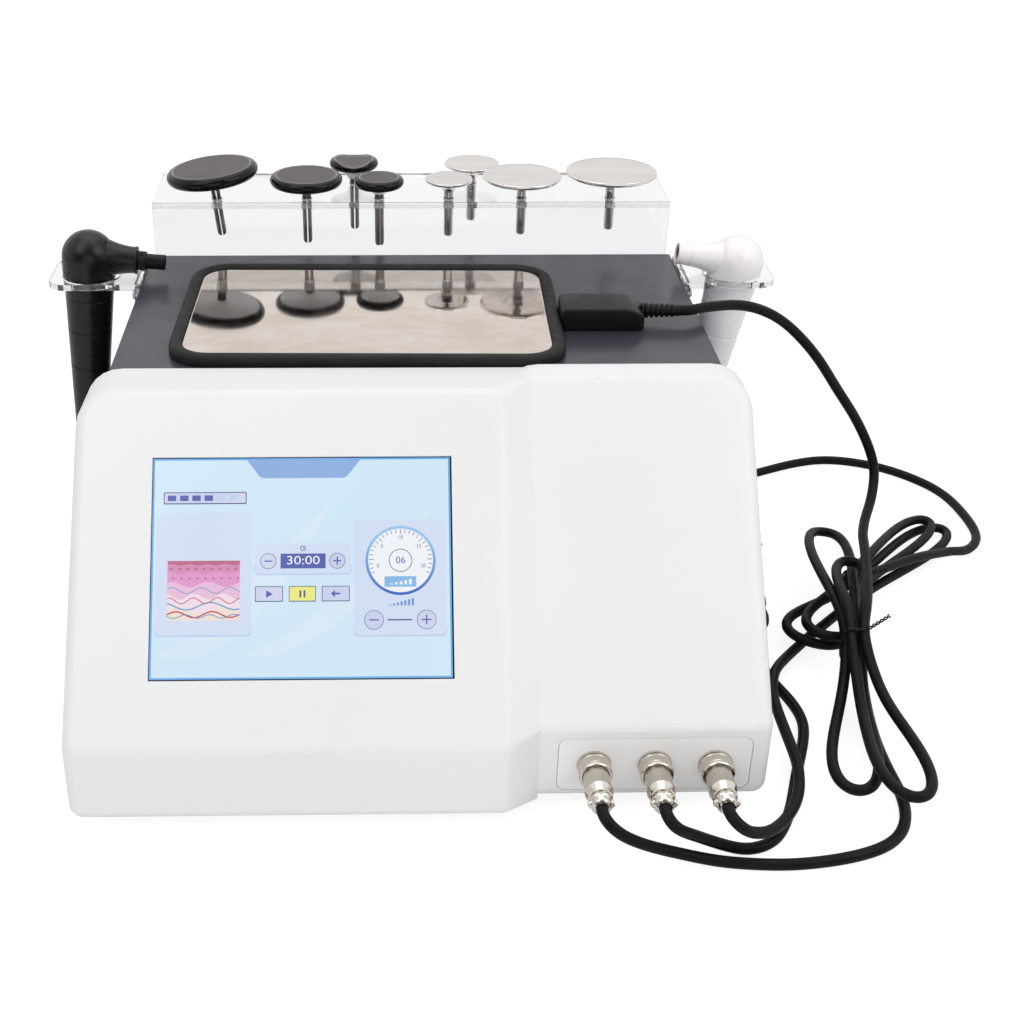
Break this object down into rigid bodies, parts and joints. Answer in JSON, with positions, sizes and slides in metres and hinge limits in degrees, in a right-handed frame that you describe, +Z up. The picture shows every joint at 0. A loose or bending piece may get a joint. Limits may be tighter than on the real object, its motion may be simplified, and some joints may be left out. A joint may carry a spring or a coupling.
{
  "type": "radio frequency therapy machine",
  "caption": "Benchtop radio frequency body machine: sloped touch-screen casing, sheet-metal box, electrode rack, two handles, return plate and corded sockets.",
  "frame": {"origin": "on the table under the middle of the machine without its free cords", "axes": "+Z up, +X to the machine's right as seen from its front, -Y towards the user in front of the screen"},
  "size_m": [0.645, 0.4653, 0.2604],
  "materials": {
    "white_plastic": "satin moulded plastic",
    "dark_sheet_metal": "semi-gloss paint",
    "zinc_plate": "zinc plated",
    "screen_glass": "gloss, lit picture behind",
    "circuit_board": "matt lacquer",
    "cast_aluminium_fins": "extruded",
    "copper_winding": "enamelled wire",
    "black_plastic": "satin",
    "clear_sheet": "polished clear sheet",
    "black_coating": "gloss rim, satin top",
    "polished_steel": "polished",
    "nickel": "nickel plated",
    "black_rubber": "satin",
    "white_handle_plastic": "satin",
    "brass_socket": "dark inside",
    "cord_black": "satin"
  },
  "bodies": {
    "machine": {"front_shell": "white_plastic", "socket_panel": "white_plastic", "base_pan": "zinc_plate", "top_cover": "dark_sheet_metal", "rear_panel": "dark_sheet_metal", "touch_glass": "screen_glass", "lcd_panel": "zinc_plate", "control_board": "circuit_board", "power_supply": "zinc_plate", "rf_board": "circuit_board", "rf_heatsink": "cast_aluminium_fins", "output_transformer": "copper_winding", "fan_frame": "black_plastic", "fan_guard": "zinc_plate", "mains_inlet": "black_plastic", "feet": "black_rubber", "foot_screws": "zinc_plate", "m3_screws": "zinc_plate", "electrode_rack": "clear_sheet", "holder_left": "clear_sheet", "holder_right": "clear_sheet", "cord_ties": "black_plastic", "socket_1": "nickel", "cable_plug_1": "nickel", "socket_2": "nickel", "cable_plug_2": "nickel", "socket_3": "nickel", "cable_plug_3": "nickel", "plate_cord_front": "cord_black", "plate_hank": "cord_black", "plate_cord_rear": "cord_black", "white_cord_front": "cord_black", "white_hank": "cord_black", "white_cord_rear": "cord_black", "black_cord_front": "cord_black", "black_hank": "cord_black", "black_cord_rear": "cord_black"},
    "coated_disc_large_body": {"coated_disc_large": "black_coating"},
    "coated_disc_medium_body": {"coated_disc_medium": "black_coating"},
    "coated_disc_small_body": {"coated_disc_small": "black_coating"},
    "coated_disc_saddle_body": {"coated_disc_saddle": "black_coating"},
    "steel_disc_large_body": {"steel_disc_large": "polished_steel"},
    "steel_disc_medium_body": {"steel_disc_medium": "polished_steel"},
    "steel_disc_small_body": {"steel_disc_small": "polished_steel"},
    "steel_disc_rear_body": {"steel_disc_rear": "polished_steel"},
    "black_handle": {"black_handle_body": "black_plastic", "black_handle_head": "black_plastic", "black_handle_socket": "black_plastic"},
    "white_handle": {"white_handle_body": "white_handle_plastic", "white_handle_head": "white_handle_plastic", "white_handle_socket": "brass_socket"},
    "return_electrode": {"plate_rim": "black_rubber", "return_plate": "polished_steel", "plate_plug": "black_plastic"},
    "ring_1": {"coupling_ring_1": "nickel"},
    "ring_2": {"coupling_ring_2": "nickel"},
    "ring_3": {"coupling_ring_3": "nickel"},
    "rocker": {"power_rocker": "black_plastic"},
    "drawer": {"fuse_drawer": "black_plastic"},
    "rotor": {"fan_rotor": "black_plastic"}
  },
  "joints": [
    {"name": "coated_disc_large_lift", "type": "slide", "parent": "machine", "child": "coated_disc_large_body", "axis": [-0.1045, 0, 0.9945], "range_m": [0, 0.045]},
    {"name": "coated_disc_medium_lift", "type": "slide", "parent": "machine", "child": "coated_disc_medium_body", "axis": [0, 0, 1], "range_m": [0, 0.045]},
    {"name": "coated_disc_small_lift", "type": "slide", "parent": "machine", "child": "coated_disc_small_body", "axis": [0, 0, 1], "range_m": [0, 0.045]},
    {"name": "coated_disc_saddle_lift", "type": "slide", "parent": "machine", "child": "coated_disc_saddle_body", "axis": [0, 0, 1], "range_m": [0, 0.045]},
    {"name": "steel_disc_large_lift", "type": "slide", "parent": "machine", "child": "steel_disc_large_body", "axis": [0, 0, 1], "range_m": [0, 0.045]},
    {"name": "steel_disc_medium_lift", "type": "slide", "parent": "machine", "child": "steel_disc_medium_body", "axis": [0, 0, 1], "range_m": [0, 0.045]},
    {"name": "steel_disc_small_lift", "type": "slide", "parent": "machine", "child": "steel_disc_small_body", "axis": [0, 0, 1], "range_m": [0, 0.045]},
    {"name": "steel_disc_rear_lift", "type": "slide", "parent": "machine", "child": "steel_disc_rear_body", "axis": [0, 0, 1], "range_m": [0, 0.045]},
    {"name": "black_handle_lift", "type": "slide", "parent": "machine", "child": "black_handle", "axis": [0.0872, 0, 0.9962], "range_m": [0, 0.13]},
    {"name": "white_handle_lift", "type": "slide", "parent": "machine", "child": "white_handle", "axis": [0.1564, 0, 0.9877], "range_m": [0, 0.13]},
    {"name": "return_electrode_lift", "type": "slide", "parent": "machine", "child": "return_electrode", "axis": [0, 0, 1], "range_m": [0, 0.08]},
    {"name": "ring_1_turn", "type": "hinge", "parent": "machine", "child": "ring_1", "pos_m": [0.0935, -0.2, 0.032], "axis": [0, -1, 0], "continuous": true},
    {"name": "ring_2_turn", "type": "hinge", "parent": "machine", "child": "ring_2", "pos_m": [0.1265, -0.2, 0.032], "axis": [0, -1, 0], "continuous": true},
    {"name": "ring_3_turn", "type": "hinge", "parent": "machine", "child": "ring_3", "pos_m": [0.1595, -0.2, 0.032], "axis": [0, -1, 0], "continuous": true},
    {"name": "power_rocker_tilt", "type": "hinge", "parent": "machine", "child": "rocker", "pos_m": [0.115, 0.1389, 0.078], "axis": [1, 0, 0], "range_deg": [0, 16]},
    {"name": "fuse_drawer_slide", "type": "slide", "parent": "machine", "child": "drawer", "axis": [0, 1, 0], "range_m": [0, 0.012]},
    {"name": "fan_rotor_spin", "type": "hinge", "parent": "machine", "child": "rotor", "pos_m": [-0.075, 0.1425, 0.103], "axis": [0, 1, 0], "continuous": true}
  ]
}
